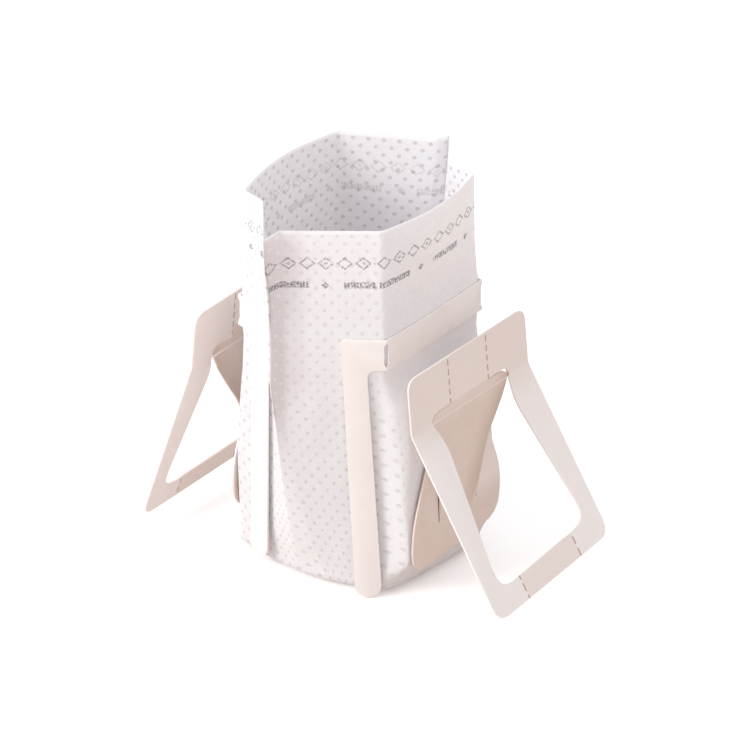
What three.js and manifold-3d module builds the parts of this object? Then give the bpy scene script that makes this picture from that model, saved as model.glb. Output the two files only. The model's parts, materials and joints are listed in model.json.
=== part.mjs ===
// Drip coffee bag, opened and standing: a nonwoven pouch, two card gates and two card ears.
// Millimetres, +Z up, standing surface at z = 0. +X is the face that carries the right ear.
import * as THREE from 'three';
import { mergeVertices } from 'three/addons/utils/BufferGeometryUtils.js';
import Module from 'manifold-3d';

const wasm = await Module();
wasm.setup();

// Pouch: heights above the standing surface
const rimHeight = 81.6; // cut edge round the mouth
const bandTop = 57.8; // upper edge of the card band
const bandDepth = 6.7; // height of the card band
const tentHeight = 41.3; // where the side face is well drawn out to the ear
const footMiddle = 23.3; // middle of the ear's foot
const footLow = 9.3; // just above the lower edge of the ear's foot
const baseEdge = 1.3; // rounded lower edge
const clothWall = 0.4;

// Pouch: plan sizes
const rimHalf = 15.7; // half the distance between the two side faces at the mouth
const faceWidth = 29.4; // width of each side face
const faceSkew = 1.8; // each side face is shifted this far along itself
const bandHalf = 16.4; // half the distance between the side faces under the bands
const footOut = { right: 21.7, left: 18.5 }; // how far each side face stands out behind its ear
const faceBulge = 2.4; // bow of a side face at the mouth and under the band
const edgeBowShare = 0.45; // the part of that bow that lies beside the face's corners
const baseBow = 0.4; // bow of a side face at the base
const leftSag = 0.4; // the left face's far corner is drawn in this much below the mouth
const ridgeOut = { front: 30.2, back: 25.3 }; // how far the two seam ridges stand out at the mouth

// Card
const cardThickness = 0.4;
const glueGap = 0.3; // between a card piece and the cloth that it is glued to
const bandWrap = { front: 8.8, back: 9.2 }; // band beyond the corners of the face
const legWidth = 5.2;
const legLean = { front: 2.7, back: 0.4 }; // how far a leg's end leans towards its corner
const legEnd = { front: 0, back: 2 }; // height of a leg's rounded end
const slitWidth = 0.7; // slit along each corner fold of the band
const slitMargin = 0.6; // card left at each end of that slit

// Ear, laid flat: across is measured from its middle line, down from its top edge
const earWidth = 37;
const earLength = 49.6;
const earTop = 52.3; // height of its top edge
const earTopOut = 23.9; // distance of its top edge from the middle of the pouch
const earCentre = 2.5; // shift of its middle line along the face
const earCorner = 2.6; // rounding of the outer corners
const topBar = 10; // card above the opening
const bottomBar = 4.8;
const openingTop = 25.6; // widths of the opening
const openingWaist = 21.6;
const openingFoot = 29.4;
const waistDown = 17; // the waist's distance from the top edge
const openingRound = { top: 3, foot: 4.5 };
const hingeWidth = 12; // card between the two perforated lines of the top bar
const upperLean = 5; // degrees that the upper part leans out
const bendDown = 12; // the frame bends this far from its top edge
const bendRadius = 3;
const swing = { right: 32.5, left: 16.7 }; // degrees that each frame stands out below its bend
const neckWidth = { top: 14.5, foot: 11 };
const shoulderDown = 21.4; // where the head narrows to the neck
const neckRoot = 15; // height of the neck's root on the foot
const footWidth = 27.2;
const footTop = 31.3; // height of the prongs beside the neck
const footBottom = 7.8;
const footRound = 5;
const prongTop = 17.5; // width across the tips of the prongs
const cutGap = 0.3; // die-cut line between pieces of one sheet
const lapStep = 0.02; // the neck lies this far behind the card that it is joined to

const bandBottom = bandTop - bandDepth;
const bandMiddle = bandTop - bandDepth / 2;
const degrees = Math.PI / 180;

const cloth = new THREE.MeshStandardMaterial({ color: 0xf1edf0, roughness: 0.85, metalness: 0, name: 'nonwoven' });
const card = new THREE.MeshStandardMaterial({ color: 0xe9ddd5, roughness: 0.6, metalness: 0, name: 'card' });

// A smooth function through pairs of height and value, given from the top down.
function profile(pairs) {
  const slopes = pairs.map((pair, i) => {
    const before = pairs[Math.max(i - 1, 0)];
    const after = pairs[Math.min(i + 1, pairs.length - 1)];
    const turning = (pair[1] - before[1]) * (after[1] - pair[1]) <= 0;
    return turning ? 0 : (after[1] - before[1]) / (after[0] - before[0]);
  });
  return (z) => {
    if (z >= pairs[0][0]) return pairs[0][1];
    const last = pairs.length - 1;
    if (z <= pairs[last][0]) return pairs[last][1];
    const i = pairs.findIndex((pair) => z >= pair[0]) - 1;
    const [z0, v0] = pairs[i];
    const [z1, v1] = pairs[i + 1];
    const h = z1 - z0;
    const t = (z - z0) / h;
    const start = v0 + t * t * (3 - 2 * t) * (v1 - v0);
    return start + h * t * (1 - t) * ((1 - t) * slopes[i] - t * slopes[i + 1]);
  };
}

// One fold line of the pouch: its plan point at the mouth, under the band, at the tent, behind
// the middle and the lower edge of the foot, and at the base.
function foldLine(rim, band, tent, foot, low, base) {
  const heights = [rimHeight, bandTop + 1, bandBottom - 1, tentHeight, footMiddle, footLow, baseEdge];
  const points = [rim, band, band, tent, foot, low, base];
  const [x, y] = [0, 1].map((axis) => profile(heights.map((z, i) => [z, points[i][axis]])));
  return (z) => new THREE.Vector2(x(z), y(z));
}

const half = faceWidth / 2;
const near = faceSkew - half; // the face's corner by the longer seam ridge
const far = faceSkew + half;

// The fold lines of one side face and of the walls to the next seam ridge, from the corner line
// beside the valley round to the valley's far wall, for the face towards +X.
function sideFolds(out, ridge, farSag) {
  const edgeBow = faceBulge * edgeBowShare;
  const drawn = (out - bandHalf) / 2; // the cloth between band and foot runs straight
  const line = [
    foldLine([rimHalf - 1.2, near - 0.9], [bandHalf - 1.2, near - 0.9], [bandHalf - 0.6, near - 0.5],
      [bandHalf - 0.6, near - 0.1], [bandHalf - 0.8, near], [rimHalf - 1.4, near - 0.6]),
    foldLine([rimHalf, near], [bandHalf, near], [bandHalf + drawn * 0.7, near],
      [out - 1.4, near], [out - 0.1, near + 0.4], [rimHalf + 0.2, near + 0.2]),
    foldLine([rimHalf + edgeBow, near + 4.4], [bandHalf + edgeBow, near + 4.4], [out - 1.4, near + 2.4],
      [out, near + 1.7], [out, near + 1.9], [rimHalf + 1.6, near + 3.4]),
    foldLine([rimHalf + edgeBow, far - 4.4], [bandHalf + edgeBow, far - 4.4], [out - 1.4, far - 2.6],
      [out, far - 1.6], [out, far - 1.8], [rimHalf + 3.2, far - 5.6]),
    foldLine([rimHalf, far], [bandHalf, far - farSag], [bandHalf + drawn * 0.5, far - 0.4 - farSag],
      [out - 1.7 + farSag * 3.4, far - 0.5 - farSag], [out - 0.8, far - 0.8 - farSag],
      [rimHalf + 3.2, far - 2.2]),
  ];
  return line.concat(ridge());
}

// The seam ridge that follows a side face: the wall behind the band's far end, the ridge and the
// valley beside it.
function frontRidge() {
  const out = ridgeOut.front;
  return [
    foldLine([10.1, 17.8], [7.0, 18.5], [7.2, 18.3], [7.3, 18.1], [8.6, 17.2], [9.8, 16.4]),
    foldLine([0.3, out], [0.5, out - 2.2], [0.9, out - 3.8],
      [1.3, out - 7.2], [1.6, out - 10.6], [1.8, out - 13.2]),
    foldLine([0.1, out - 5.2], [-0.2, out - 5.5], [-0.5, out - 6.0],
      [-1.3, out - 8.2], [-2.6, out - 11.3], [-4, out - 13.6]),
  ];
}

function backRidge() {
  const out = ridgeOut.back;
  return [
    foldLine([8.9, 16.9], [6.6, 18.5], [6.8, 18.4], [7.0, 18.0], [8.6, 17.0], [9.8, 16.4]),
    foldLine([2.7, out], [2.2, out - 1.4], [1.8, out - 2.6],
      [1.4, out - 4.6], [1.5, out - 6.6], [1.8, out - 8.4]),
    foldLine([1.6, out - 3.0], [0.2, out - 3.6], [-0.6, out - 4.2],
      [-1.6, out - 5.8], [-3.4, out - 7.4], [-5, out - 8.9]),
  ];
}

const turned = (line) => (z) => line(z).multiplyScalar(-1);
const rightFolds = sideFolds(footOut.right, backRidge, 0);
const leftFolds = sideFolds(footOut.left, frontRidge, leftSag).map(turned);
const folds = [...rightFolds, ...leftFolds];

// Each wall between two fold lines is cut into this many strips.
const wallStrips = [1, 1, 6, 1, 2, 3, 2, 5, 1, 1, 6, 1, 2, 3, 2, 5];
const bowedWalls = [2, 10];
const middleBow = faceBulge * (1 - edgeBowShare);
const bow = profile([
  [rimHeight, middleBow], [bandBottom - 1, middleBow], [footMiddle, 0], [baseEdge, baseBow]]);

function outline(z) {
  const corners = folds.map((fold) => fold(z));
  const points = [];
  corners.forEach((corner, i) => {
    const next = corners[(i + 1) % corners.length];
    const along = next.clone().sub(corner);
    const outwards = new THREE.Vector2(along.y, -along.x).normalize();
    const rise = bowedWalls.includes(i) ? bow(z) : 0;
    for (let j = 0; j < wallStrips[i]; j += 1) {
      const t = j / wallStrips[i];
      points.push(corner.clone().addScaledVector(along, t).addScaledVector(outwards, rise * 4 * t * (1 - t)));
    }
  });
  return points;
}

// An outline moved inwards by a distance, mitred at its corners.
function inset(points, distance) {
  const count = points.length;
  return points.map((point, i) => {
    const back = point.clone().sub(points[(i + count - 1) % count]).normalize();
    const ahead = points[(i + 1) % count].clone().sub(point).normalize();
    const inwards = new THREE.Vector2(-back.y - ahead.y, back.x + ahead.x).normalize();
    const mitre = Math.max(0.33, inwards.dot(new THREE.Vector2(-back.y, back.x)));
    return point.clone().addScaledVector(inwards, distance / mitre);
  });
}

function solidOf(positions, indices) {
  const geometry = new THREE.BufferGeometry();
  geometry.setAttribute('position', new THREE.Float32BufferAttribute(positions, 3));
  if (indices) geometry.setIndex(indices);
  const merged = mergeVertices(geometry, 1e-4);
  const corners = Array.from(merged.index.array);
  const kept = [];
  for (let i = 0; i < corners.length; i += 3) {
    const triangle = corners.slice(i, i + 3);
    if (new Set(triangle).size === 3) kept.push(...triangle);
  }
  merged.setIndex(kept);
  return merged;
}

// A closed skin over a stack of rings, with a middle point at each end.
function loft(rings, firstPoint, lastPoint) {
  const count = rings[0].length;
  const positions = rings.flat().flatMap((p) => [p.x, p.y, p.z]);
  positions.push(firstPoint.x, firstPoint.y, firstPoint.z, lastPoint.x, lastPoint.y, lastPoint.z);
  const first = rings.length * count;
  const indices = [];
  for (let i = 0; i < count; i += 1) {
    const j = (i + 1) % count;
    indices.push(first, j, i);
    for (let r = 0; r + 1 < rings.length; r += 1) {
      const a = r * count;
      const b = a + count;
      indices.push(a + i, a + j, b + j, a + i, b + j, b + i);
    }
    const top = (rings.length - 1) * count;
    indices.push(first + 1, top + i, top + j);
  }
  return solidOf(positions, indices);
}

function pouch() {
  const heights = [baseEdge, 2.4, 4.2, 6.6, footLow, 12.5, 16.5, 20, 24, 28, 32, 36, 40, 44, 47.5, 50,
    bandBottom + 0.5, bandMiddle, bandTop, 61, 65, 69, 73, 77.5, rimHeight];
  const level = (points, z) => points.map((p) => new THREE.Vector3(p.x, p.y, z));
  const curled = (curl) => outline(baseEdge).map((p) => p.clone().setLength(p.length() - curl));
  const roundings = [[3.4, 0], [1.2, 0.4]]; // how far the base curls in, and the height there
  const outer = [
    ...roundings.map(([curl, z]) => level(curled(curl), z)),
    ...heights.map((z) => level(outline(z), z)),
  ];
  const inner = [
    ...heights.map((z) => level(inset(outline(z), clothWall), z)).reverse(),
    ...roundings.map(([curl, z]) => level(curled(curl + clothWall), z + clothWall)).reverse(),
  ];
  inner[heights.length - 1].forEach((p) => p.setZ(baseEdge + clothWall * 0.6));
  return loft([...outer, ...inner], new THREE.Vector3(0, 0, 0), new THREE.Vector3(0, 0, clothWall));
}

// Cuts every triangle of a flat card along the lines where the chosen coordinate has a value.
function score(triangles, axis, value) {
  const result = [];
  const crossing = (a, b) => {
    const [p, q] = a[axis] < b[axis] ? [a, b] : [b, a];
    const t = (value - p[axis]) / (q[axis] - p[axis]);
    const cut = p.map((v, k) => v + (q[k] - v) * t);
    cut[axis] = value;
    return cut;
  };
  triangles.forEach((triangle) => {
    const sides = triangle.map((p) => Math.sign(Math.abs(p[axis] - value) < 1e-5 ? 0 : p[axis] - value));
    if (!sides.includes(1) || !sides.includes(-1)) {
      result.push(triangle);
      return;
    }
    const lone = sides.findIndex((s, i) => s !== 0 && sides.every((other, j) => j === i || other !== s));
    const [a, b, c] = [0, 1, 2].map((k) => triangle[(lone + k) % 3]);
    const [sideB, sideC] = [1, 2].map((k) => sides[(lone + k) % 3]);
    if (sideB === 0) {
      const ca = crossing(c, a);
      result.push([a, b, ca], [b, c, ca]);
    } else if (sideC === 0) {
      const ab = crossing(a, b);
      result.push([a, ab, c], [ab, b, c]);
    } else {
      const ab = crossing(a, b);
      const ca = crossing(c, a);
      result.push([a, ab, ca], [ab, b, c], [ab, c, ca]);
    }
  });
  return result;
}

// A flat card shape, scored along the given lines and then bent by a map from across, height and
// depth to a point of the bag.
function bentCard(shape, acrossLines, heightLines, bend) {
  const flat = new THREE.ExtrudeGeometry(shape, { depth: cardThickness, bevelEnabled: false, curveSegments: 4 });
  const { position } = flat.attributes;
  let triangles = [];
  for (let i = 0; i < position.count; i += 3) {
    triangles.push([0, 1, 2].map((k) => [position.getX(i + k), position.getY(i + k), position.getZ(i + k)]));
  }
  acrossLines.forEach((value) => { triangles = score(triangles, 0, value); });
  heightLines.forEach((value) => { triangles = score(triangles, 1, value); });
  const points = triangles.flat().flatMap((point) => bend(...point).toArray());
  return solidOf(points);
}

// The line that the band follows round a side face, with straight runs beyond both corners.
function bandLine(first) {
  const rounds = outline(bandMiddle);
  const skip = wallStrips.slice(0, first).reduce((sum, n) => sum + n, 0);
  const faceStrips = wallStrips.slice(first, first + 3).reduce((sum, n) => sum + n, 0);
  const away = inset(rounds, -glueGap);
  const face = away.slice(skip, skip + faceStrips + 1);
  const keys = folds.map((fold) => fold(bandMiddle));
  const count = folds.length;
  const frontWay = keys[(first + count - 2) % count].clone().sub(keys[first]).normalize();
  const backWay = keys[(first + 4) % count].clone().sub(keys[(first + 3) % count]).normalize();
  const lengths = [0];
  face.slice(1).forEach((p, i) => lengths.push(lengths[i] + p.distanceTo(face[i])));
  const width = lengths[lengths.length - 1];
  const at = (s) => {
    if (s <= 0) return { point: face[0].clone().addScaledVector(frontWay, -s), way: frontWay.clone().negate() };
    if (s >= width) {
      return { point: face[face.length - 1].clone().addScaledVector(backWay, s - width), way: backWay };
    }
    const i = lengths.findIndex((length) => length > s) - 1;
    const way = face[i + 1].clone().sub(face[i]).normalize();
    return { point: face[i].clone().addScaledVector(way, s - lengths[i]), way };
  };
  const outwardsAt = (s) => {
    const before = at(s - 1e-3).way;
    const after = at(s + 1e-3).way;
    const outwards = new THREE.Vector2(before.y + after.y, -before.x - after.x).normalize();
    const mitre = outwards.dot(new THREE.Vector2(after.y, -after.x));
    return outwards.divideScalar(mitre);
  };
  return { width, creases: lengths, at, outwardsAt };
}

// A gate laid flat: the band over one side face and a leg beyond each of its corners.
function gateShape(width) {
  const fillet = 2;
  const shape = new THREE.Shape();
  const start = -bandWrap.front;
  const end = width + bandWrap.back;
  const tip = legWidth / 2;
  const frontTip = start + legLean.front + tip;
  const backTip = end - legLean.back - tip;
  shape.moveTo(start + 0.6, bandTop);
  shape.lineTo(end - 0.6, bandTop);
  shape.lineTo(end, bandTop - 0.6);
  shape.lineTo(backTip + tip, legEnd.back + tip);
  shape.absarc(backTip, legEnd.back + tip, tip, 0, -Math.PI, true);
  shape.lineTo(end - legWidth, bandBottom - fillet);
  shape.quadraticCurveTo(end - legWidth, bandBottom, end - legWidth - fillet, bandBottom);
  shape.lineTo(start + legWidth + fillet, bandBottom);
  shape.quadraticCurveTo(start + legWidth, bandBottom, start + legWidth, bandBottom - fillet);
  shape.lineTo(frontTip + tip, legEnd.front + tip);
  shape.absarc(frontTip, legEnd.front + tip, tip, 0, -Math.PI, true);
  shape.lineTo(start, bandTop - 0.6);
  shape.closePath();
  [0, width].forEach((fold) => {
    const [low, high] = [bandBottom + slitMargin, bandTop - slitMargin];
    shape.holes.push(roundedPath(new THREE.Path(), [
      [fold, low, 0],
      [fold + slitWidth / 2, low + slitWidth, 0],
      [fold + slitWidth / 2, high - slitWidth, 0],
      [fold, high, 0],
      [fold - slitWidth / 2, high - slitWidth, 0],
      [fold - slitWidth / 2, low + slitWidth, 0],
    ]));
  });
  return shape;
}

function gate(first) {
  const line = bandLine(first);
  const bend = (s, z, depth) => {
    const point = line.at(s).point.addScaledVector(line.outwardsAt(s), depth);
    return new THREE.Vector3(point.x, point.y, z);
  };
  return bentCard(gateShape(line.width), line.creases, [], bend);
}

// The side view of a bent strip: straight runs of a length and a tilt out of the vertical, in
// degrees, with a round bend between them. Gives the point, and the outward normal, at a
// distance down from the top edge.
function sideView(runs) {
  const pieces = [];
  let [down, x, z] = [0, earTopOut, earTop];
  const add = (length, from, to) => {
    const piece = { down, length, from, to, x, z };
    pieces.push(piece);
    const end = pointOn(piece, down + length);
    [down, x, z] = [down + length, end.x, end.z];
  };
  const pointOn = (piece, t) => {
    const run = t - piece.down;
    const turn = (piece.to - piece.from) / piece.length;
    const angle = piece.from + turn * run;
    if (piece.from === piece.to) {
      return { x: piece.x + run * Math.sin(angle), z: piece.z - run * Math.cos(angle), angle };
    }
    return {
      x: piece.x + (Math.cos(piece.from) - Math.cos(angle)) / turn,
      z: piece.z - (Math.sin(angle) - Math.sin(piece.from)) / turn,
      angle,
    };
  };
  const arc = (i) => (i + 1 < runs.length ? bendRadius * Math.abs(runs[i + 1][1] - runs[i][1]) * degrees : 0);
  runs.forEach(([length, tilt], i) => {
    const before = i > 0 ? arc(i - 1) / 2 : 0;
    add(length - before - arc(i) / 2, tilt * degrees, tilt * degrees);
    if (i + 1 < runs.length) add(arc(i), tilt * degrees, runs[i + 1][1] * degrees);
  });
  const at = (t) => pointOn(pieces.find((p) => t <= p.down + p.length) ?? pieces[pieces.length - 1], t);
  const creases = pieces.filter((p) => p.from !== p.to)
    .flatMap((p) => [0, 0.25, 0.5, 0.75, 1].map((t) => -p.down - t * p.length));
  return { at, creases };
}

// A closed outline through corner points, each given as across, height and the rounding of its
// corner.
function roundedPath(path, corners) {
  const count = corners.length;
  const towards = (from, to, distance) => {
    const way = new THREE.Vector2(to[0] - from[0], to[1] - from[1]).normalize();
    return [from[0] + way.x * distance, from[1] + way.y * distance];
  };
  corners.forEach((corner, i) => {
    const before = corners[(i + count - 1) % count];
    const after = corners[(i + 1) % count];
    const start = towards(corner, before, corner[2]);
    const end = towards(corner, after, corner[2]);
    if (i === 0) path.moveTo(...start);
    else path.lineTo(...start);
    if (corner[2] > 0) path.quadraticCurveTo(corner[0], corner[1], ...end);
  });
  path.closePath();
  return path;
}

// The right half of a hanging shape, given as across, down from the ear's top edge and rounding,
// made whole.
function hung(corners) {
  const right = corners.map(([across, down, round]) => [across, -down, round]);
  const left = right.map(([across, height, round]) => [-across, height, round]);
  return [...left, ...right.reverse()];
}

function frameShape() {
  const shape = roundedPath(new THREE.Shape(), hung([
    [earWidth / 2, 0, earCorner],
    [earWidth / 2, earLength, earCorner * 1.3],
  ]));
  shape.holes.push(roundedPath(new THREE.Path(), hung([
    [openingTop / 2, topBar, openingRound.top],
    [openingWaist / 2, waistDown, 2.5],
    [openingFoot / 2, earLength - bottomBar, openingRound.foot],
  ])));
  return shape;
}

// The head below the top bar, and the neck. Its root runs up into the bar between the
// perforated lines.
function neckShape(rootDown) {
  const headHalf = openingTop / 2 - cutGap;
  return roundedPath(new THREE.Shape(), hung([
    [hingeWidth / 2, topBar - 2, 0],
    [hingeWidth / 2, topBar + cutGap, 0],
    [headHalf, topBar + cutGap, openingRound.top],
    [headHalf - 1.6, waistDown - 1, 1.5],
    [headHalf - 3.6, shoulderDown - 0.8, 1.2],
    [neckWidth.top / 2, shoulderDown + 2.4, 2],
    [neckWidth.foot / 2, rootDown, 0],
    [neckWidth.foot / 2, rootDown + 3, 0],
  ]));
}

// The foot with its two prongs, hung from the level of the ear's top edge.
function footShape() {
  const slit = neckWidth.foot / 2 + cutGap;
  const slitTop = neckWidth.top / 2 + cutGap;
  return roundedPath(new THREE.Shape(), hung([
    [slit, earTop - neckRoot, 0],
    [slitTop - 0.4, earTop - footTop + 1, 0.8],
    [prongTop / 2, earTop - footTop, 0.6],
    [footWidth / 2, earTop - footBottom - footRound * 2, footRound * 0.8],
    [footWidth / 2 - 0.8, earTop - footBottom, footRound],
  ]));
}

function join(geometries) {
  const solids = geometries.map((geometry) => new wasm.Manifold(new wasm.Mesh({
    numProp: 3,
    vertProperties: new Float32Array(geometry.attributes.position.array),
    triVerts: new Uint32Array(geometry.index.array),
  })));
  const mesh = solids.reduce((sum, solid) => sum.add(solid)).getMesh();
  return solidOf(Array.from(mesh.vertProperties), Array.from(mesh.triVerts));
}

// An ear: the frame, and the head, neck and foot that are cut out of the same card.
function ear(side) {
  const facing = side === 'right' ? 1 : -1;
  const place = (across, depth, view) => new THREE.Vector3(
    view.x + depth * Math.cos(view.angle),
    earCentre + across,
    view.z + depth * Math.sin(view.angle),
  ).multiply(new THREE.Vector3(facing, facing, 1));

  const frameView = sideView([[bendDown, upperLean], [earLength - bendDown, swing[side]]]);
  const frame = bentCard(frameShape(), [], frameView.creases,
    (across, height, depth) => place(across, depth, frameView.at(-height)));

  const footFace = footOut[side] + glueGap;
  const bend = sideView([[bendDown, upperLean], [1, upperLean]]).at(bendDown);
  const drop = bend.z - neckRoot;
  const neckLength = Math.hypot(drop, footFace - bend.x);
  const neckTilt = Math.asin((footFace - bend.x) / neckLength) / degrees;
  const neckView = sideView([[bendDown, upperLean], [neckLength, neckTilt], [neckRoot, 0]]);
  const rootDown = bendDown + neckLength;
  const neck = bentCard(neckShape(rootDown), [], neckView.creases,
    (across, height, depth) => place(across, depth - lapStep, neckView.at(-height)));

  const footPlane = neckView.at(rootDown + 4).x;
  const foot = bentCard(footShape(), [], [],
    (across, height, depth) => place(across, depth, { x: footPlane, z: earTop + height, angle: 0 }));
  return join([frame, neck, foot]);
}

function named(name, geometry, material) {
  geometry.computeVertexNormals();
  const mesh = new THREE.Mesh(geometry, material);
  mesh.name = name;
  return mesh;
}

const dripBag = new THREE.Group();
dripBag.add(
  named('pouch', pouch(), cloth),
  named('gate_right', gate(1), card),
  named('gate_left', gate(9), card),
  named('ear_right', ear('right'), card),
  named('ear_left', ear('left'), card),
);

export default dripBag;
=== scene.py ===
# Drip coffee bag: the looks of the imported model. Metres, +Z up, the bag stands at z = 0.
import json
import math

import bpy
import numpy as np
from mathutils import Matrix, Vector, noise

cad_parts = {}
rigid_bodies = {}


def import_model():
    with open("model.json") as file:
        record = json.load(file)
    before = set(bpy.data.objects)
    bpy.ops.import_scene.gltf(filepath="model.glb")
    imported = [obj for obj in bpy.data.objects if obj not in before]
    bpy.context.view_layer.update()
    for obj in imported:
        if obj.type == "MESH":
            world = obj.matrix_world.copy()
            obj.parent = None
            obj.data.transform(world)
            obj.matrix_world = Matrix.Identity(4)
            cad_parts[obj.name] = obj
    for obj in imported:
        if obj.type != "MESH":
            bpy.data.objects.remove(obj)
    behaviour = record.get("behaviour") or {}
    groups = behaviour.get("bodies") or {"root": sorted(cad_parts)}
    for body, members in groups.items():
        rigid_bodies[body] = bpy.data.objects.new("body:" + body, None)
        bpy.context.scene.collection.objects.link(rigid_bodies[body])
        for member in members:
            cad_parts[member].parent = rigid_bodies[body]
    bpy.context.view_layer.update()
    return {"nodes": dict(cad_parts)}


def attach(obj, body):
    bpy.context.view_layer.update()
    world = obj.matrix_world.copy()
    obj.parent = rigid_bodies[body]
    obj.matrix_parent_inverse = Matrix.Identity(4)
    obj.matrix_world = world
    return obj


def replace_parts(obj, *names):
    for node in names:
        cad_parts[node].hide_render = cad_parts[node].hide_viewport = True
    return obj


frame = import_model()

mm = 0.001


def deselectAll():
    if bpy.context.object and bpy.context.object.mode != "OBJECT":
        bpy.ops.object.mode_set(mode="OBJECT")
    bpy.ops.object.select_all(action="DESELECT")


def makeActive(piece):
    deselectAll()
    piece.select_set(True)
    bpy.context.view_layer.objects.active = piece


def applyModifiers(piece):
    makeActive(piece)
    for modifier in list(piece.modifiers):
        bpy.ops.object.modifier_apply(modifier=modifier.name)


# Shader helpers

def addNode(tree, kind, values=None, **settings):
    node = tree.nodes.new(kind)
    for name, value in settings.items():
        setattr(node, name, value)
    for key, value in (values or {}).items():
        if isinstance(value, bpy.types.NodeSocket):
            tree.links.new(value, node.inputs[key])
        else:
            node.inputs[key].default_value = value
    return node


def maths(tree, operation, first, second=0.0, third=0.0):
    values = {0: first, 1: second}
    if operation == "MULTIPLY_ADD":
        values[2] = third
    return addNode(tree, "ShaderNodeMath", values, operation=operation).outputs[0]


def ramp(tree, value, low, high, toLow=0.0, toHigh=1.0):
    node = addNode(tree, "ShaderNodeMapRange",
                   {"Value": value, "From Min": low, "From Max": high, "To Min": toLow, "To Max": toHigh},
                   interpolation_type="SMOOTHSTEP")
    return node.outputs["Result"]


def distanceFrom(tree, value, place):
    return maths(tree, "ABSOLUTE", maths(tree, "SUBTRACT", value, place))


def inMillimetres(tree, place):
    scaled = addNode(tree, "ShaderNodeVectorMath", {0: place, 1: (1000, 1000, 1000)}, operation="MULTIPLY")
    return addNode(tree, "ShaderNodeSeparateXYZ", {0: scaled.outputs[0]}).outputs


def mixColours(tree, factor, first, second):
    node = addNode(tree, "ShaderNodeMix", data_type="RGBA")
    for index, value in ((0, factor), (6, first), (7, second)):
        if isinstance(value, bpy.types.NodeSocket):
            tree.links.new(value, node.inputs[index])
        else:
            node.inputs[index].default_value = value
    return node.outputs[2]


def startGroup(name, inputs, outputs):
    tree = bpy.data.node_groups.new(name, "ShaderNodeTree")
    for label, kind, value in inputs:
        socket = tree.interface.new_socket(label, in_out="INPUT", socket_type=kind)
        if value is not None:
            socket.default_value = value
    for label, kind in outputs:
        tree.interface.new_socket(label, in_out="OUTPUT", socket_type=kind)
    return tree, tree.nodes.new("NodeGroupInput"), tree.nodes.new("NodeGroupOutput")


def useGroup(tree, group, values):
    node = tree.nodes.new("ShaderNodeGroup")
    node.node_tree = group
    for key, value in values.items():
        if isinstance(value, bpy.types.NodeSocket):
            tree.links.new(value, node.inputs[key])
        else:
            node.inputs[key].default_value = value
    return node


def newMaterial(name):
    material = bpy.data.materials.new(name)
    material.use_nodes = True
    tree = material.node_tree
    return material, tree, tree.nodes["Principled BSDF"]


def makeDotGroup():
    # staggered dots on a flat pattern measured in millimetres
    tree, given, result = startGroup(
        "embossedDots",
        [("Across", "NodeSocketFloat", 0.0), ("Up", "NodeSocketFloat", 0.0),
         ("Pitch Across", "NodeSocketFloat", 2.9), ("Pitch Up", "NodeSocketFloat", 3.28),
         ("Radius", "NodeSocketFloat", 0.41), ("Softness", "NodeSocketFloat", 0.1)],
        [("Dots", "NodeSocketFloat")])
    distances = []
    for shift in (0.0, 0.5):
        squares = []
        for way, pitch in (("Across", "Pitch Across"), ("Up", "Pitch Up")):
            cells = maths(tree, "DIVIDE", given.outputs[way], given.outputs[pitch])
            inCell = maths(tree, "FRACT", maths(tree, "ADD", cells, shift))
            offset = maths(tree, "MULTIPLY", maths(tree, "SUBTRACT", inCell, 0.5), given.outputs[pitch])
            squares.append(maths(tree, "MULTIPLY", offset, offset))
        distances.append(maths(tree, "SQRT", maths(tree, "ADD", squares[0], squares[1])))
    nearest = maths(tree, "MINIMUM", distances[0], distances[1])
    inner = maths(tree, "SUBTRACT", given.outputs["Radius"], given.outputs["Softness"])
    outer = maths(tree, "ADD", given.outputs["Radius"], given.outputs["Softness"])
    tree.links.new(ramp(tree, nearest, inner, outer, 1.0, 0.0), result.inputs["Dots"])
    return tree


# Ornaments, in mm: lozenges and dashes at these distances below the cut edge
printLook = {
    "step": 3.65, "lozengeDown": 7.2, "lozengeTall": 1.12, "lozengeSize": 1.38, "outline": (0.24, 0.38),
    "pip": (0.4, 0.6), "lozengeInk": 0.75, "dashDown": 12.0, "dashMiddle": 4.6, "dashLong": (3.9, 4.05),
    "dashTall": (0.6, 0.75), "hatchStep": 0.6125, "hatch": (0.72, 0.9), "hatchInk": 0.45,
    "markMiddle": 11.7, "markSize": (0.7, 0.9),
}


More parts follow.
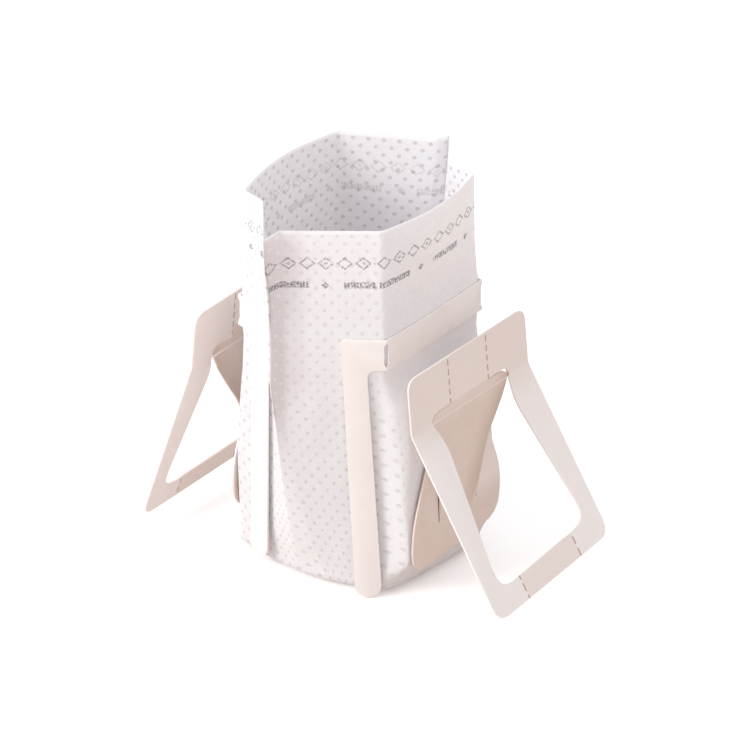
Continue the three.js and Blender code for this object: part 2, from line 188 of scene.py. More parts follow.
def makePrintGroup():
    # two rows of plain ornaments round the mouth: outlined lozenges over hatched dashes
    tree, given, result = startGroup(
        "ornamentRows",
        [("Across", "NodeSocketFloat", 0.0), ("Down", "NodeSocketFloat", 0.0),
         ("Period", "NodeSocketFloat", 14.7)],
        [("Ink", "NodeSocketFloat")])
    p = printLook
    across = given.outputs["Across"]
    down = given.outputs["Down"]
    cells = maths(tree, "DIVIDE", across, p["step"])
    x = maths(tree, "MULTIPLY", maths(tree, "SUBTRACT", maths(tree, "FRACT", cells), 0.5), p["step"])
    absX = maths(tree, "ABSOLUTE", x)
    absY = distanceFrom(tree, down, p["lozengeDown"])
    lozengeWay = maths(tree, "MULTIPLY_ADD", absY, p["lozengeTall"], absX)
    outlineInk = ramp(tree, distanceFrom(tree, lozengeWay, p["lozengeSize"]), *p["outline"], 1.0, 0.0)
    second = maths(tree, "GREATER_THAN", maths(tree, "FRACT", maths(tree, "MULTIPLY", cells, 0.5)), 0.5)
    pip = maths(tree, "MULTIPLY", ramp(tree, lozengeWay, *p["pip"], 1.0, 0.0), second)
    rowInk = maths(tree, "MULTIPLY", maths(tree, "MAXIMUM", outlineInk, pip), p["lozengeInk"])

    blocks = maths(tree, "DIVIDE", across, given.outputs["Period"])
    place = maths(tree, "MULTIPLY", maths(tree, "FRACT", blocks), given.outputs["Period"])
    drop = distanceFrom(tree, down, p["dashDown"])
    longWay = ramp(tree, distanceFrom(tree, place, p["dashMiddle"]), *p["dashLong"], 1.0, 0.0)
    dash = maths(tree, "MULTIPLY", longWay, ramp(tree, drop, *p["dashTall"], 1.0, 0.0))
    strokes = maths(tree, "FRACT", maths(tree, "DIVIDE", across, p["hatchStep"]))
    dash = maths(tree, "MULTIPLY", dash, ramp(tree, strokes, *p["hatch"], 1.0, p["hatchInk"]))
    markWay = maths(tree, "ADD", distanceFrom(tree, place, p["markMiddle"]), drop)
    mark = ramp(tree, markWay, *p["markSize"], 1.0, 0.0)
    ink = maths(tree, "MAXIMUM", rowInk, maths(tree, "MAXIMUM", dash, mark))
    tree.links.new(ink, result.inputs["Ink"])
    return tree


# Pressed fibres of cloth and card
fibreLook = {
    "lay": (0.3, 0.2, 0.5), "fineDetail": 6.0, "fineRoughness": 0.65, "fineRange": (0.35, 0.68),
    "cloudScale": 70.0, "cloudDetail": 3.0, "cloudRoughness": 0.5, "cloudRange": (0.3, 0.7),
}


def makeFibreGroup():
    # uneven tone and fine relief of pressed fibres
    tree, given, result = startGroup(
        "pressedFibres",
        [("Vector", "NodeSocketVector", None), ("Scale", "NodeSocketFloat", 900.0),
         ("Stretch", "NodeSocketFloat", 0.35)],
        [("Tone", "NodeSocketFloat"), ("Relief", "NodeSocketFloat"), ("Cloud", "NodeSocketFloat")])
    f = fibreLook
    stretch = addNode(tree, "ShaderNodeCombineXYZ", {0: 1.0, 1: given.outputs["Stretch"], 2: 1.0})
    stretched = addNode(tree, "ShaderNodeMapping", {"Vector": given.outputs["Vector"],
                                                    "Rotation": f["lay"], "Scale": stretch.outputs[0]})
    fine = addNode(tree, "ShaderNodeTexNoise",
                   {"Vector": stretched.outputs[0], "Scale": given.outputs["Scale"],
                    "Detail": f["fineDetail"], "Roughness": f["fineRoughness"]})
    cloud = addNode(tree, "ShaderNodeTexNoise",
                    {"Vector": given.outputs["Vector"], "Scale": f["cloudScale"],
                     "Detail": f["cloudDetail"], "Roughness": f["cloudRoughness"]})
    tree.links.new(ramp(tree, fine.outputs["Fac"], *f["fineRange"]), result.inputs["Tone"])
    tree.links.new(fine.outputs["Fac"], result.inputs["Relief"])
    tree.links.new(ramp(tree, cloud.outputs["Fac"], *f["cloudRange"]), result.inputs["Cloud"])
    return tree


dotGroup = makeDotGroup()
printGroup = makePrintGroup()
fibreGroup = makeFibreGroup()

# Pouch: plan corners of every fold line in mm, from the mouth down to the base
pouchShape = {
    "heights": [81.6, 58.8, 50.1, 41.3, 23.3, 9.3, 1.3],
    "rimHalf": 15.7, "bandHalf": 16.4, "faceWidth": 29.4, "faceSkew": 1.8,
    "edgeBow": 1.08, "middleBow": 1.32, "baseBow": 0.4, "edgeIn": 4.4, "leftSag": 0.4,
    "footOut": {"right": 21.7, "left": 18.5},
    "ridgeOut": {"front": 30.2, "back": 25.3},
    "columns": [3, 5, 34, 5, 16, 20, 9, 34, 3, 5, 34, 5, 16, 26, 12, 36],
    "rowStep": 0.85, "wall": 0.22, "rounding": [1, 3], "crispFrom": 20, "crispOver": 50,
    "patternScale": 100.0, "dotPitch": (2.9, 3.28), "patternAt": 54.5, "basePatternShift": 60,
    "sag": 0.3, "sagBias": 0.55, "proudest": 0.05, "quietHalf": 5, "quietFade": 7,
    "mouthQuiet": (82.5, 12), "baseQuiet": (1, 8),
    "broadWave": (0.09, 0.05), "smallWave": (0.2, 0.11), "smallShare": 0.5,
    "bandBow": 0.12, "snug": 0.24, "snugFrom": 50.4, "snugTo": 58.4, "snugFade": 2, "merge": 0.00001,
    "baseCurl": [(0.0, 0.0), (0.15, 0.0), (0.35, 0.0), (0.55, 0.0), (0.7, 0.0), (0.82, 0.04),
                 (0.9, 0.25), (0.96, 0.7)],
}


def smoothThrough(pairs):
    # a smooth function through pairs of height and value, from the top down
    slopes = []
    for i, pair in enumerate(pairs):
        before = pairs[max(i - 1, 0)]
        after = pairs[min(i + 1, len(pairs) - 1)]
        turning = (pair[1] - before[1]) * (after[1] - pair[1]) <= 0
        slopes.append(0.0 if turning else (after[1] - before[1]) / (after[0] - before[0]))

    def value(z):
        if z >= pairs[0][0]:
            return pairs[0][1]
        if z <= pairs[-1][0]:
            return pairs[-1][1]
        i = next(k for k, pair in enumerate(pairs) if z >= pair[0]) - 1
        (z0, v0), (z1, v1) = pairs[i], pairs[i + 1]
        h = z1 - z0
        t = (z - z0) / h
        start = v0 + t * t * (3 - 2 * t) * (v1 - v0)
        return start + h * t * (1 - t) * ((1 - t) * slopes[i] - t * slopes[i + 1])
    return value


def foldLine(rim, band, tent, foot, low, base):
    points = [rim, band, band, tent, foot, low, base]
    ways = [smoothThrough([(z, p[axis]) for z, p in zip(pouchShape["heights"], points)]) for axis in (0, 1)]
    return lambda z: Vector((ways[0](z), ways[1](z)))


def sideFolds(side, farSag):
    s = pouchShape
    rim, band, out = s["rimHalf"], s["bandHalf"], s["footOut"][side]
    near = s["faceSkew"] - s["faceWidth"] / 2
    far = s["faceSkew"] + s["faceWidth"] / 2
    bow = s["edgeBow"]
    flat = bow * s["bandBow"]
    edge = s["edgeIn"]
    drawn = (out - band) / 2
    return [
        foldLine((rim - 1.2, near - 0.9), (band - 1.2, near - 0.9), (band - 0.6, near - 0.5),
                 (band - 0.6, near - 0.1), (band - 0.8, near), (rim - 1.4, near - 0.6)),
        foldLine((rim, near), (band, near), (band + drawn * 0.7, near),
                 (out - 1.4, near), (out - 0.1, near + 0.4), (rim + 0.2, near + 0.2)),
        foldLine((rim + bow, near + edge), (band + flat, near + edge), (out - 1.4, near + 2.4),
                 (out, near + 1.7), (out, near + 1.9), (rim + 1.6, near + 3.4)),
        foldLine((rim + bow, far - edge), (band + flat, far - edge), (out - 1.4, far - 2.6),
                 (out, far - 1.6), (out, far - 1.8), (rim + 3.2, far - 5.6)),
        foldLine((rim, far), (band, far - farSag), (band + drawn * 0.5, far - 0.4 - farSag),
                 (out - 1.7 + farSag * 3.4, far - 0.5 - farSag), (out - 0.8, far - 0.8 - farSag),
                 (rim + 3.2, far - 2.2)),
    ]


def frontRidge():
    out = pouchShape["ridgeOut"]["front"]
    return [
        foldLine((10.1, 17.8), (7.0, 18.5), (7.2, 18.3), (7.3, 18.1), (8.6, 17.2), (9.8, 16.4)),
        foldLine((0.3, out), (0.5, out - 2.2), (0.9, out - 3.8), (1.3, out - 7.2), (1.6, out - 10.6),
                 (1.8, out - 13.2)),
        foldLine((0.1, out - 5.2), (-0.2, out - 5.5), (-0.5, out - 6.0), (-1.3, out - 8.2),
                 (-2.6, out - 11.3), (-4, out - 13.6)),
    ]


def backRidge():
    out = pouchShape["ridgeOut"]["back"]
    return [
        foldLine((8.9, 16.9), (6.6, 18.5), (6.8, 18.4), (7.0, 18.0), (8.6, 17.0), (9.8, 16.4)),
        foldLine((2.7, out), (2.2, out - 1.4), (1.8, out - 2.6), (1.4, out - 4.6), (1.5, out - 6.6),
                 (1.8, out - 8.4)),
        foldLine((1.6, out - 3.0), (0.2, out - 3.6), (-0.6, out - 4.2), (-1.6, out - 5.8), (-3.4, out - 7.4),
                 (-5, out - 8.9)),
    ]


def turned(line):
    return lambda z: line(z) * -1


pouchFolds = (sideFolds("right", 0.0) + backRidge()
              + [turned(line) for line in sideFolds("left", pouchShape["leftSag"]) + frontRidge()])
bowedWalls = (2, 10)
bandBow = pouchShape["middleBow"] * pouchShape["bandBow"]
mouthZ, bandTopZ, bandEndZ, _, footZ, _, baseZ = pouchShape["heights"]
wallBow = smoothThrough([(mouthZ, pouchShape["middleBow"]), (bandTopZ, bandBow), (bandEndZ, bandBow),
                         (footZ, 0.0), (baseZ, pouchShape["baseBow"])])


def pouchRing(z):
    corners = [fold(z) for fold in pouchFolds]
    ring = []
    for i, corner in enumerate(corners):
        along = corners[(i + 1) % len(corners)] - corner
        outwards = Vector((along.y, -along.x)).normalized()
        rise = wallBow(z) if i in bowedWalls else 0.0
        for j in range(pouchShape["columns"][i]):
            t = j / pouchShape["columns"][i]
            ring.append(corner + along * t + outwards * rise * 4 * t * (1 - t))
    ring = np.array([(p.x, p.y) for p in ring])
    low, high = pouchShape["rounding"]
    crisp = min(max((z - pouchShape["crispFrom"]) / pouchShape["crispOver"], 0), 1)
    for _ in range(round(high + (low - high) * crisp)):
        ring = ring * 0.5 + (np.roll(ring, 1, axis=0) + np.roll(ring, -1, axis=0)) * 0.25
    return ring


def clothWave(x, y, z):
    # soft dents, quiet under the bands and at the cut mouth
    s = pouchShape
    (mouth, mouthFade), (foot, footFade) = s["mouthQuiet"], s["baseQuiet"]
    calm = min(max(abs(z - s["patternAt"]) - s["quietHalf"], 0) / s["quietFade"], 1)
    calm *= min((mouth - z) / mouthFade, 1) * min(max(z - foot, 0) / footFade, 1)
    wave = 0.0
    for (flat, upright), share in ((s["broadWave"], 1.0), (s["smallWave"], s["smallShare"])):
        wave += share * noise.noise(Vector((x * flat, y * flat, z * upright)))
    return s["sag"] * calm * (wave - s["sagBias"])


def makePouch(outerCloth, innerCloth):
    s = pouchShape
    top, base = s["heights"][0], s["heights"][-1]
    count = round((top - base) / s["rowStep"])
    levels = [base + (top - base) * i / count for i in range(count + 1)]
    baseRing = pouchRing(base)
    reach = np.hypot(baseRing[:, 0], baseRing[:, 1])
    rings, upwards = [], []
    for share, z in s["baseCurl"]:
        ring = baseRing * share
        rings.append(np.column_stack([ring, np.full(len(ring), z)]))
        upwards.append(base - (1 - share) * float(reach.mean()))
    for z in levels:
        ring = pouchRing(z)
        ahead = np.roll(ring, -1, axis=0) - np.roll(ring, 1, axis=0)
        outwards = np.column_stack([ahead[:, 1], -ahead[:, 0]])
        outwards /= np.linalg.norm(outwards, axis=1)[:, None]
        moves = np.array([clothWave(x, y, z) for x, y in ring])
        rising = min(max(z - s["snugFrom"] + s["snugFade"], 0) / s["snugFade"], 1)
        falling = min(max(s["snugTo"] + s["snugFade"] - z, 0) / s["snugFade"], 1)
        snug = s["snug"] * rising * falling
        ring = ring + outwards * (np.minimum(moves, s["proudest"]) + snug)[:, None]
        rings.append(np.column_stack([ring, np.full(len(ring), z)]))
        upwards.append(z)
    columns = len(baseRing)
    rows = len(rings) - 1

    deselectAll()
    bpy.ops.mesh.primitive_grid_add(x_subdivisions=columns, y_subdivisions=rows, size=1)
    pouch = bpy.context.object
    pouch.name = "pouch_cloth"
    places = np.array([np.vstack([ring, ring[:1]]) for ring in rings]).reshape(-1, 3) * mm
    pouch.data.vertices.foreach_set("co", places.ravel())

    # the pattern runs round the cloth by its length under the bands, in whole dots
    bandRing = pouchRing(s["patternAt"])
    steps = np.linalg.norm(np.roll(bandRing, -1, axis=0) - bandRing, axis=1)
    around = np.concatenate([[0], np.cumsum(steps)])
    pitch = s["dotPitch"][0]
    around *= round(around[-1] / pitch) * pitch / around[-1]
    corners = np.zeros(len(pouch.data.loops), dtype=np.int32)
    pouch.data.loops.foreach_get("vertex_index", corners)
    row, column = corners // (columns + 1), corners % (columns + 1)
    across, up = around[column], np.array(upwards)[row]
    baseFaces = np.repeat(np.array([min(corners[f.loop_start:f.loop_start + 4]) // (columns + 1)
                                    for f in pouch.data.polygons]) < len(s["baseCurl"]), 4)
    flat = places.reshape(-1, 3)[corners] / mm
    across = np.where(baseFaces, flat[:, 0], across)
    up = np.where(baseFaces, flat[:, 1] - s["basePatternShift"], up)
    uv = np.column_stack([across, up]) / s["patternScale"]
    pouch.data.uv_layers.active.data.foreach_set("uv", uv.ravel())
    pouch.data.update()

    makeActive(pouch)
    bpy.ops.object.mode_set(mode="EDIT")
    bpy.ops.mesh.select_all(action="SELECT")
    bpy.ops.mesh.remove_doubles(threshold=s["merge"])
    bpy.ops.object.mode_set(mode="OBJECT")
    pouch.data.materials.clear()
    pouch.data.materials.append(outerCloth)
    pouch.data.materials.append(innerCloth)
    wall = pouch.modifiers.new("wall", "SOLIDIFY")
    wall.thickness = s["wall"] * mm
    wall.offset = -1.0
    wall.material_offset = 1
    wall.use_even_offset = False
    applyModifiers(pouch)
    bpy.ops.object.shade_smooth()
    return pouch


# Nonwoven: colours are linear
clothLook = {
    "white": (0.92, 0.90, 0.92, 1), "shade": (0.87, 0.845, 0.87, 1), "paintedBacklitDots": (0.97, 0.95, 0.965, 1),
    "outerDots": (0.64, 0.61, 0.64, 1), "innerDots": (0.60, 0.565, 0.585, 1),
    "outerStrength": 0.7, "innerStrength": 0.85,
    "ink": (0.21, 0.20, 0.21, 1), "outerInk": 0.9, "innerInk": 0.36,
    "valley": (0.74, 0.66, 0.675, 1), "valleyBeyond": -21.5, "valleyShade": 0.6,
    "dotFadeFrom": 41.5, "dotFadeTo": 51.5, "dotFadeBeyond": 15.0,
    "fibreScale": 1400.0, "fibreStretch": 0.3, "fibreTone": 0.55, "dotFadeShare": 0.85,
    "away": (0.5, 0.85), "foldFacing": (0.3, 0.75), "foldRise": (18.0, 45.0),
    "speckleScale": 2600.0, "speckle": (0.36, 0.52), "dotRelief": -0.45, "fibreRelief": 0.3,
    "bump": 0.6, "bumpDepth": 0.00025,
    "roughness": 0.8, "through": 0.7, "throughTint": (1.0, 0.95, 0.95), "throughReach": 0.0009,
}


def makeCloth(name, outside):
    material, tree, shader = newMaterial(name)
    c = clothLook
    which = "outer" if outside else "inner"
    dotColour, dotStrength, inkStrength = (c[which + part] for part in ("Dots", "Strength", "Ink"))
    uv = addNode(tree, "ShaderNodeUVMap", uv_map="UVMap")
    parts = addNode(tree, "ShaderNodeSeparateXYZ", {0: uv.outputs[0]})
    across = maths(tree, "MULTIPLY", parts.outputs[0], pouchShape["patternScale"])
    up = maths(tree, "MULTIPLY", parts.outputs[1], pouchShape["patternScale"])
    pitchAcross, pitchUp = pouchShape["dotPitch"]
    dots = useGroup(tree, dotGroup, {"Across": across, "Up": up,
                                     "Pitch Across": pitchAcross, "Pitch Up": pitchUp})
    down = maths(tree, "SUBTRACT", pouchShape["heights"][0], up)
    rows = useGroup(tree, printGroup, {"Across": across, "Down": down})
    place = addNode(tree, "ShaderNodeTexCoord")
    fibres = useGroup(tree, fibreGroup, {"Vector": place.outputs["Object"],
                                         "Scale": c["fibreScale"], "Stretch": c["fibreStretch"]})

    tone = maths(tree, "MULTIPLY", fibres.outputs["Tone"], c["fibreTone"])
    base = mixColours(tree, tone, c["white"], c["shade"])
    # the dots fade out on the cloth between each band and the ear's top edge
    spot = inMillimetres(tree, place.outputs["Object"])
    low, high, beyond = c["dotFadeFrom"], c["dotFadeTo"], c["dotFadeBeyond"]
    within = maths(tree, "MULTIPLY", ramp(tree, spot[2], low - 3, low + 1),
                   ramp(tree, spot[2], high, high + 0.5, 1.0, 0.0))
    dotFade = maths(tree, "MULTIPLY", within, ramp(tree, maths(tree, "ABSOLUTE", spot[0]), beyond, beyond + 1))
    plain = maths(tree, "SUBTRACT", 1.0, maths(tree, "MULTIPLY", dotFade, c["dotFadeShare"]))
    shown = maths(tree, "MULTIPLY", dots.outputs["Dots"], plain)
    dotMask = maths(tree, "MULTIPLY", shown, dotStrength)
    # painted light: on the walls that look away from the light the dots are coloured paler, where more light
    # comes through the thin dots
    surface = addNode(tree, "ShaderNodeNewGeometry")
    facing = addNode(tree, "ShaderNodeSeparateXYZ", {0: surface.outputs["True Normal"]})
    away = ramp(tree, facing.outputs[0], *c["away"])
    paintedPaleDots = dotColour
    if outside:
        # deep shade in the fold beside the longer seam ridge
        valleyEnd = c["valleyBeyond"]
        inFold = maths(tree, "MULTIPLY", ramp(tree, facing.outputs[0], *c["foldFacing"]),
                       ramp(tree, spot[1], valleyEnd - 1.5, valleyEnd, 1.0, 0.0))
        inFold = maths(tree, "MULTIPLY", inFold, ramp(tree, spot[2], *c["foldRise"]))
        shaded = maths(tree, "MULTIPLY", inFold, c["valleyShade"])
        base = mixColours(tree, shaded, base, c["valley"])
        paintedPaleDots = c["paintedBacklitDots"]
    dotted = mixColours(tree, dotMask, base, mixColours(tree, away, dotColour, paintedPaleDots))
    speckle = addNode(tree, "ShaderNodeTexNoise",
                      {"Vector": place.outputs["Object"], "Scale": c["speckleScale"], "Detail": 2.0})
    broken = ramp(tree, speckle.outputs["Fac"], *c["speckle"])
    ink = maths(tree, "MULTIPLY", maths(tree, "MULTIPLY", rows.outputs["Ink"], broken), inkStrength)
    tree.links.new(mixColours(tree, ink, dotted, c["ink"]), shader.inputs["Base Color"])
    shader.inputs["Roughness"].default_value = c["roughness"]
    shader.inputs["Subsurface Weight"].default_value = c["through"]
    shader.inputs["Subsurface Radius"].default_value = c["throughTint"]
    shader.inputs["Subsurface Scale"].default_value = c["throughReach"]
    fine = maths(tree, "MULTIPLY", fibres.outputs["Relief"], c["fibreRelief"])
    relief = maths(tree, "MULTIPLY_ADD", shown, c["dotRelief"], fine)
    bump = addNode(tree, "ShaderNodeBump",
                   {"Height": relief, "Strength": c["bump"], "Distance": c["bumpDepth"]})
    tree.links.new(bump.outputs[0], shader.inputs["Normal"])
    return material


# Card: the same sheet for gates and ears. Perforations and creases are given as places along
# the face. The left ear is the right one turned half round.
cardLook = {
    "face": (0.93, 0.90, 0.882, 1), "warm": (0.885, 0.835, 0.808, 1),
    "paintedShadeFace": (0.80, 0.70, 0.635, 1), "paintedShadeWarm": (0.73, 0.61, 0.535, 1),
    "deep": (0.50, 0.35, 0.28, 1), "neckLow": (17.0, 7.9), "neckHigh": (31.0, 12.3), "prongBelow": 33.0,
    "slit": (0.42, 0.27, 0.20, 1), "bevel": 0.06, "foldAngle": 25.0,
    "perforations": (-3.5, 8.5), "perforatedFrom": 42.3, "dashPitch": 2.1, "dashShare": 0.66,
    "creases": (-5.8, 11.6), "barMiddle": 2.9, "barHalf": 8.7, "barBelow": 12.4, "barBeyond": 30.0,
    "lineHalf": 0.16, "upperFrom": 34.0, "upperTo": 42.0,
    "upperPaintedShade": 0.55, "barPaintedShade": 0.45, "lineTone": 0.85,
    "lineRelief": -2.5, "neckDark": 0.5, "neckAcross": (-7.0, 0.2), "neckRise": (8.0, 22.0),
    "prongPale": 0.9, "prongAcross": (-0.1, 0.3), "prongRise": (11.0, 19.0),
    "fibreScale": 650.0, "fibreStretch": 0.6, "cloudTone": 0.35, "fineTone": 0.2,
    "roughness": (0.48, 0.62), "bump": 0.25, "bumpDepth": 0.0001,
    "merge": 0.00007, "flatAngle": 0.5, "edgeAngle": 40.0,
}


def lineMask(tree, along, place, half):
    return ramp(tree, distanceFrom(tree, along, place), half * 0.7, half * 1.3, 1.0, 0.0)


def paintedNeckShadeAndProngLight(tree, place, colour):
    # painted shade: the neck darkens towards its cut edge, and painted light makes the prong beyond the cut
    # paler
    c = cardLook
    parts = inMillimetres(tree, place)
    along = maths(tree, "MULTIPLY", parts[1], maths(tree, "SIGN", parts[0]))
    (lowZ, lowY), (highZ, highY) = c["neckLow"], c["neckHigh"]
    slope = (highY - lowY) / (highZ - lowZ)
    edge = maths(tree, "MULTIPLY_ADD", parts[2], slope, lowY - lowZ * slope)
    past = maths(tree, "SUBTRACT", along, edge)
    low = maths(tree, "LESS_THAN", parts[2], c["prongBelow"])
    dark = maths(tree, "MULTIPLY", ramp(tree, past, *c["neckAcross"]), ramp(tree, parts[2], *c["neckRise"]))
    colour = mixColours(tree, maths(tree, "MULTIPLY", dark, c["neckDark"]), colour, c["deep"])
    upright = maths(tree, "MULTIPLY", low, ramp(tree, parts[2], *c["prongRise"]))
    prong = maths(tree, "MULTIPLY", ramp(tree, past, *c["prongAcross"]), upright)
    return mixColours(tree, maths(tree, "MULTIPLY", prong, c["prongPale"]), colour, c["warm"])


def scoreLinesAndShade(tree, place, colour, relief):
    # perforations beside the hinge, creases in the lower bar, and painted warm shade on the ear's upper bar
    # and on the bottom bar between the creases
    c = cardLook
    parts = inMillimetres(tree, place)
    along = maths(tree, "MULTIPLY", parts[1], maths(tree, "SIGN", parts[0]))
    dashes = maths(tree, "FRACT", maths(tree, "DIVIDE", parts[2], c["dashPitch"]))
    dash = maths(tree, "LESS_THAN", dashes, c["dashShare"])
    onTop = maths(tree, "MULTIPLY", maths(tree, "GREATER_THAN", parts[2], c["perforatedFrom"]), dash)
    beyond = maths(tree, "GREATER_THAN", maths(tree, "ABSOLUTE", parts[0]), c["barBeyond"])
    onBar = maths(tree, "MULTIPLY", maths(tree, "LESS_THAN", parts[2], c["barBelow"]), beyond)
    between = maths(tree, "LESS_THAN", distanceFrom(tree, along, c["barMiddle"]), c["barHalf"])
    # painted shade on the bent middle of the bottom bar, between the creases
    barPaintedShade = maths(tree, "MULTIPLY", maths(tree, "MULTIPLY", onBar, between), c["barPaintedShade"])
    colour = mixColours(tree, barPaintedShade, colour, c["paintedShadeFace"])
    # painted shade on the upper bar, which faces a little down
    upper = ramp(tree, parts[2], c["upperFrom"], c["upperTo"])
    upperPaintedShade = maths(tree, "MULTIPLY", upper, c["upperPaintedShade"])
    colour = mixColours(tree, upperPaintedShade, colour, c["paintedShadeFace"])
    lines = 0.0
    for where, which in ((onTop, "perforations"), (maths(tree, "MULTIPLY", onBar, dash), "creases")):
        for spot in cardLook[which]:
            line = maths(tree, "MULTIPLY", lineMask(tree, along, spot, c["lineHalf"]), where)
            lines = maths(tree, "MAXIMUM", lines, line)
    colour = mixColours(tree, maths(tree, "MULTIPLY", lines, c["lineTone"]), colour, c["slit"])
    return colour, maths(tree, "MULTIPLY_ADD", lines, c["lineRelief"], relief)


def makeCard(name, kind):
    material, tree, shader = newMaterial(name)
    c = cardLook
    place = addNode(tree, "ShaderNodeTexCoord").outputs["Object"]
    fibres = useGroup(tree, fibreGroup,
                      {"Vector": place, "Scale": c["fibreScale"], "Stretch": c["fibreStretch"]})
    fineTone = maths(tree, "MULTIPLY", fibres.outputs["Tone"], c["fineTone"])
    tone = maths(tree, "MULTIPLY_ADD", fibres.outputs["Cloud"], c["cloudTone"], fineTone)
    # painted shade: the tongue behind the frame gets darker, warmer card colours, standing in for the
    # frame's shade
    faceColour, warmColour = ("paintedShadeFace", "paintedShadeWarm") if kind == "tongue" else ("face", "warm")
    colour = mixColours(tree, tone, c[faceColour], c[warmColour])
    relief = fibres.outputs["Relief"]
    if kind == "tongue":
        colour = paintedNeckShadeAndProngLight(tree, place, colour)
    if kind == "scored":
        colour, relief = scoreLinesAndShade(tree, place, colour, relief)
    tree.links.new(colour, shader.inputs["Base Color"])
    sheen = ramp(tree, fibres.outputs["Cloud"], 0.0, 1.0, *c["roughness"])
    tree.links.new(sheen, shader.inputs["Roughness"])
    bump = addNode(tree, "ShaderNodeBump",
                   {"Height": relief, "Strength": c["bump"], "Distance": c["bumpDepth"]})
    tree.links.new(bump.outputs[0], shader.inputs["Normal"])
    return material


def placesOf(piece):
    places = np.zeros(len(piece.data.vertices) * 3)
    piece.data.vertices.foreach_get("co", places)
    return places.reshape(-1, 3) / mm


def setPlaces(piece, places):
    piece.data.vertices.foreach_set("co", (places * mm).ravel())
    piece.data.update()


def turnFor(side):
    # the left pieces are worked on as the right ones, turned half round
    return np.array([1, 1, 1] if side == "right" else [-1, -1, 1])


def straightenBand(piece, side):
    s = pouchShape
    places = placesOf(piece) * turnFor(side)
    near = s["faceSkew"] - s["faceWidth"] / 2
    reach = np.minimum(places[:, 1] - near, near + s["faceWidth"] - places[:, 1])
    reach = np.clip(reach, 0, None)
    edge = s["edgeIn"]
    middle = np.clip((reach - edge) / (s["faceWidth"] / 2 - edge), 0, 1)
    bow = s["edgeBow"] * np.minimum(reach / edge, 1) + s["middleBow"] * (1 - (1 - middle) ** 2)
    onFace = places[:, 0] > s["bandHalf"] - 0.6
    places[:, 0] -= np.where(onFace, bow * (1 - s["bandBow"]), 0)
    setPlaces(piece, places * turnFor(side))


# Ears: how far the loose end of each frame is twisted, the foot's corner let down,
# and where the tongue lies behind the frame
earShape = {
    "right": {"from": 27.0, "to": 44.0, "ends": (14.0, -16.0), "move": (1.4, 0.0, -2.6)},
    "left": {"from": 24.0, "to": 35.0, "ends": (-8.0, 20.0), "move": (1.0, 0.8, -1.3)},
    "footOut": {"right": 24.6, "left": 21.4}, "footTop": 24.0, "footBottom": 7.8,
    "middle": 2.5, "footHalf": 13.6, "cornerMove": (-1.6, -2.3),
    "tongue": {"right": (24.6, 0.31), "left": (24.2, 0.15)},
    "bendAt": 40.3, "cutAt": 42.2, "openingHalf": 12.75,
}


def smoothStep(value):
    value = np.clip(value, 0, 1)
    return value * value * (3 - 2 * value)


def reshapeEar(piece, side):
    s = earShape
    twist = s[side]
    places = placesOf(piece) * turnFor(side)
    out = smoothStep((places[:, 0] - twist["from"]) / (twist["to"] - twist["from"]))
    still, loose = twist["ends"]
    end = np.clip((places[:, 1] - still) / (loose - still), 0, 1)
    moved = places + np.array(twist["move"]) * (out * end)[:, None]
    onFoot = (places[:, 0] < s["footOut"][side]) & (places[:, 2] < s["footTop"])
    down = smoothStep((s["footTop"] - places[:, 2]) / (s["footTop"] - s["footBottom"]))
    nearSide = np.clip((s["middle"] - places[:, 1]) / s["footHalf"], 0, 1)
    pull = np.where(onFoot, down * nearSide, 0)
    moved[:, 1] += pull * s["cornerMove"][0]
    moved[:, 2] += pull * s["cornerMove"][1]
    setPlaces(piece, moved * turnFor(side))


def markTongue(piece, side):
    # the tongue behind the frame takes the second material, the card with painted shade
    s = earShape
    out, slope = s["tongue"][side]
    turn = turnFor(side)
    for face in piece.data.polygons:
        x, y, z = np.array(face.center) / mm * turn
        if z >= s["bendAt"]:
            behind = z < s["cutAt"] and abs(y - s["middle"]) < s["openingHalf"]
        else:
            behind = x < out + (s["bendAt"] - z) * slope
        face.material_index = 1 if behind else 0


def finishCard(nodeName):
    # the card node again as one merged mesh, with softened cut edges
    makeActive(frame["nodes"][nodeName])
    bpy.ops.object.duplicate()
    piece = bpy.context.object
    piece.name = nodeName + "_card"
    # the copy is no CAD node itself
    for key in list(piece.keys()):
        if key.startswith("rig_"):
            del piece[key]
    bpy.ops.object.parent_clear(type="CLEAR_KEEP_TRANSFORM")
    bpy.ops.object.mode_set(mode="EDIT")
    bpy.ops.mesh.select_all(action="SELECT")
    bpy.ops.mesh.remove_doubles(threshold=cardLook["merge"])
    bpy.ops.mesh.dissolve_limited(angle_limit=math.radians(cardLook["flatAngle"]))
    bpy.ops.object.mode_set(mode="OBJECT")
    piece.data.materials.clear()
    edge = piece.modifiers.new("cutEdge", "BEVEL")
    edge.width = cardLook["bevel"] * mm
    edge.segments = 2
    edge.limit_method = "ANGLE"
    edge.angle_limit = math.radians(cardLook["edgeAngle"])
    applyModifiers(piece)
    bpy.ops.object.shade_smooth_by_angle(angle=math.radians(cardLook["foldAngle"]))
    return piece


print("pouch")
pouch = makePouch(makeCloth("nonwovenOuter", True), makeCloth("nonwovenInner", False))
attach(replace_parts(pouch, "pouch"), "root")

print("cards")
plainCard = makeCard("coatedCard", "plain")
scoredCard = makeCard("scoredCard", "scored")
shadedTongueCard = makeCard("shadedTongueCard", "tongue")
for side in ("right", "left"):
    gate = finishCard("gate_" + side)
    gate.data.materials.append(plainCard)
    straightenBand(gate, side)
    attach(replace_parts(gate, "gate_" + side), "root")
    ear = finishCard("ear_" + side)
    ear.data.materials.append(scoredCard)
    ear.data.materials.append(shadedTongueCard)
    markTongue(ear, side)
    reshapeEar(ear, side)
    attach(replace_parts(ear, "ear_" + side), "root")

# Camera: the photo's long-lens view, 5.15 pixels to the millimetre across 750 pixels
view = {
    "azimuth": 37.8, "elevation": 30.0, "pixelsPerMm": 5.15, "frame": 750, "distance": 6.0,
    "mouthAt": (359.5, 181.0), "mouthHeight": 81.6, "sensor": 36, "clipEnd": 30,
}


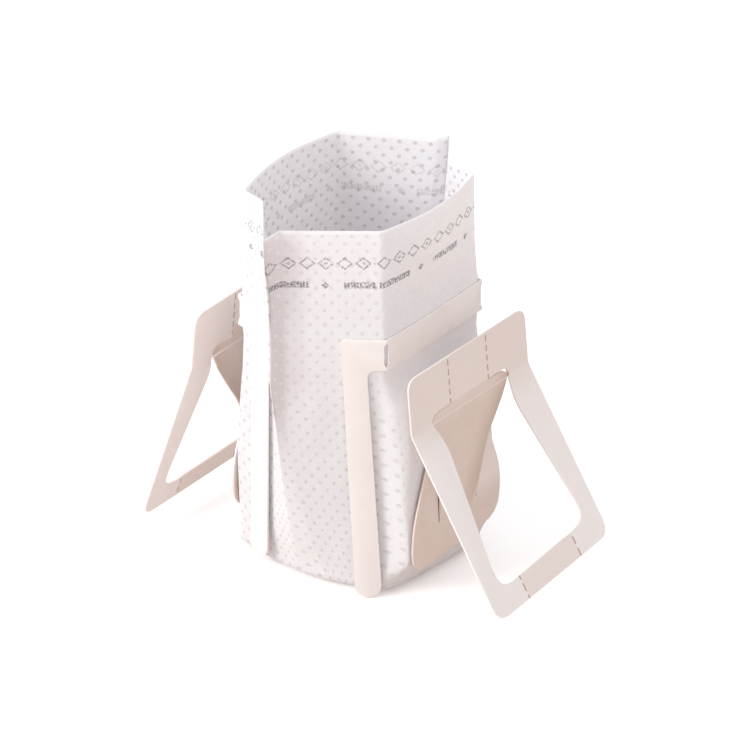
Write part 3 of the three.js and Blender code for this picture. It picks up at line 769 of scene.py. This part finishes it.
def makeCamera():
    a, e = math.radians(view["azimuth"]), math.radians(view["elevation"])
    right = Vector((math.cos(a), math.sin(a), 0))
    back = Vector((math.sin(a) * math.cos(e), -math.cos(a) * math.cos(e), math.sin(e)))
    up = back.cross(right)
    middle = view["frame"] / 2
    shiftRight = (middle - view["mouthAt"][0]) / view["pixelsPerMm"] * mm
    shiftDown = (middle - view["mouthAt"][1]) / view["pixelsPerMm"] * mm
    aim = Vector((0, 0, view["mouthHeight"] * mm)) + right * shiftRight - up * shiftDown
    data = bpy.data.cameras.new("photoCamera")
    camera = bpy.data.objects.new("photoCamera", data)
    bpy.context.scene.collection.objects.link(camera)
    width = view["frame"] / view["pixelsPerMm"] * mm
    data.sensor_width = view["sensor"]
    data.lens = view["sensor"] * view["distance"] / width
    data.clip_end = view["clipEnd"]
    turn = Matrix((right, up, back)).transposed().to_4x4()
    turn.translation = aim + back * view["distance"]
    camera.matrix_world = turn
    bpy.context.scene.camera = camera


# Stage: white daylight from the upper left, a warm room on the right
stageLook = {
    "floorSeen": (0.95, 0.945, 0.94, 1), "floorBounce": (0.74, 0.65, 0.60, 1), "floorLift": 0.22,
    "floorSize": 6, "floorHeight": -0.0001, "floorRoughness": 0.9, "skyLean": -0.5, "skyRange": (-0.3, 0.9),
    "skyCool": (0.95, 0.955, 0.985, 1), "skyWarm": (0.80, 0.725, 0.70, 1),
    "keyAt": (-0.46, -0.98, 0.62), "keyAim": (0, 0, 0.04), "keySize": 0.5, "keyPower": 7.2,
    "keyColour": (1.0, 0.995, 0.985),
}


def makeFloor():
    deselectAll()
    bpy.ops.mesh.primitive_plane_add(size=stageLook["floorSize"], location=(0, 0, stageLook["floorHeight"]))
    floor = bpy.context.object
    floor.name = "floor"
    material, tree, shader = newMaterial("paleFloor")
    # white in view, warm where it only lights the bag
    seen = addNode(tree, "ShaderNodeLightPath").outputs["Is Camera Ray"]
    colour = mixColours(tree, seen, stageLook["floorBounce"], stageLook["floorSeen"])
    tree.links.new(colour, shader.inputs["Base Color"])
    tree.links.new(mixColours(tree, seen, (0, 0, 0, 1), (1, 1, 1, 1)), shader.inputs["Emission Color"])
    shader.inputs["Emission Strength"].default_value = stageLook["floorLift"]
    shader.inputs["Roughness"].default_value = stageLook["floorRoughness"]
    floor.data.materials.append(material)


def addKey():
    data = bpy.data.lights.new("key", "AREA")
    data.size = stageLook["keySize"]
    data.energy = stageLook["keyPower"]
    data.color = stageLook["keyColour"]
    light = bpy.data.objects.new("key", data)
    bpy.context.scene.collection.objects.link(light)
    light.location = stageLook["keyAt"]
    way = Vector(stageLook["keyAim"]) - Vector(stageLook["keyAt"])
    light.rotation_euler = way.to_track_quat("-Z", "Y").to_euler()


def makeSky():
    sky = bpy.data.worlds.new("studio")
    sky.use_nodes = True
    tree = sky.node_tree
    place = addNode(tree, "ShaderNodeTexCoord")
    way = addNode(tree, "ShaderNodeSeparateXYZ", {0: place.outputs["Generated"]})
    lean = maths(tree, "MULTIPLY_ADD", way.outputs[2], stageLook["skyLean"], way.outputs[0])
    warmth = ramp(tree, lean, *stageLook["skyRange"])
    colour = mixColours(tree, warmth, stageLook["skyCool"], stageLook["skyWarm"])
    tree.links.new(colour, tree.nodes["Background"].inputs["Color"])
    return sky


print("stage")
makeCamera()
makeFloor()
addKey()
bpy.context.scene.world = makeSky()
bpy.context.scene.view_settings.view_transform = "Standard"
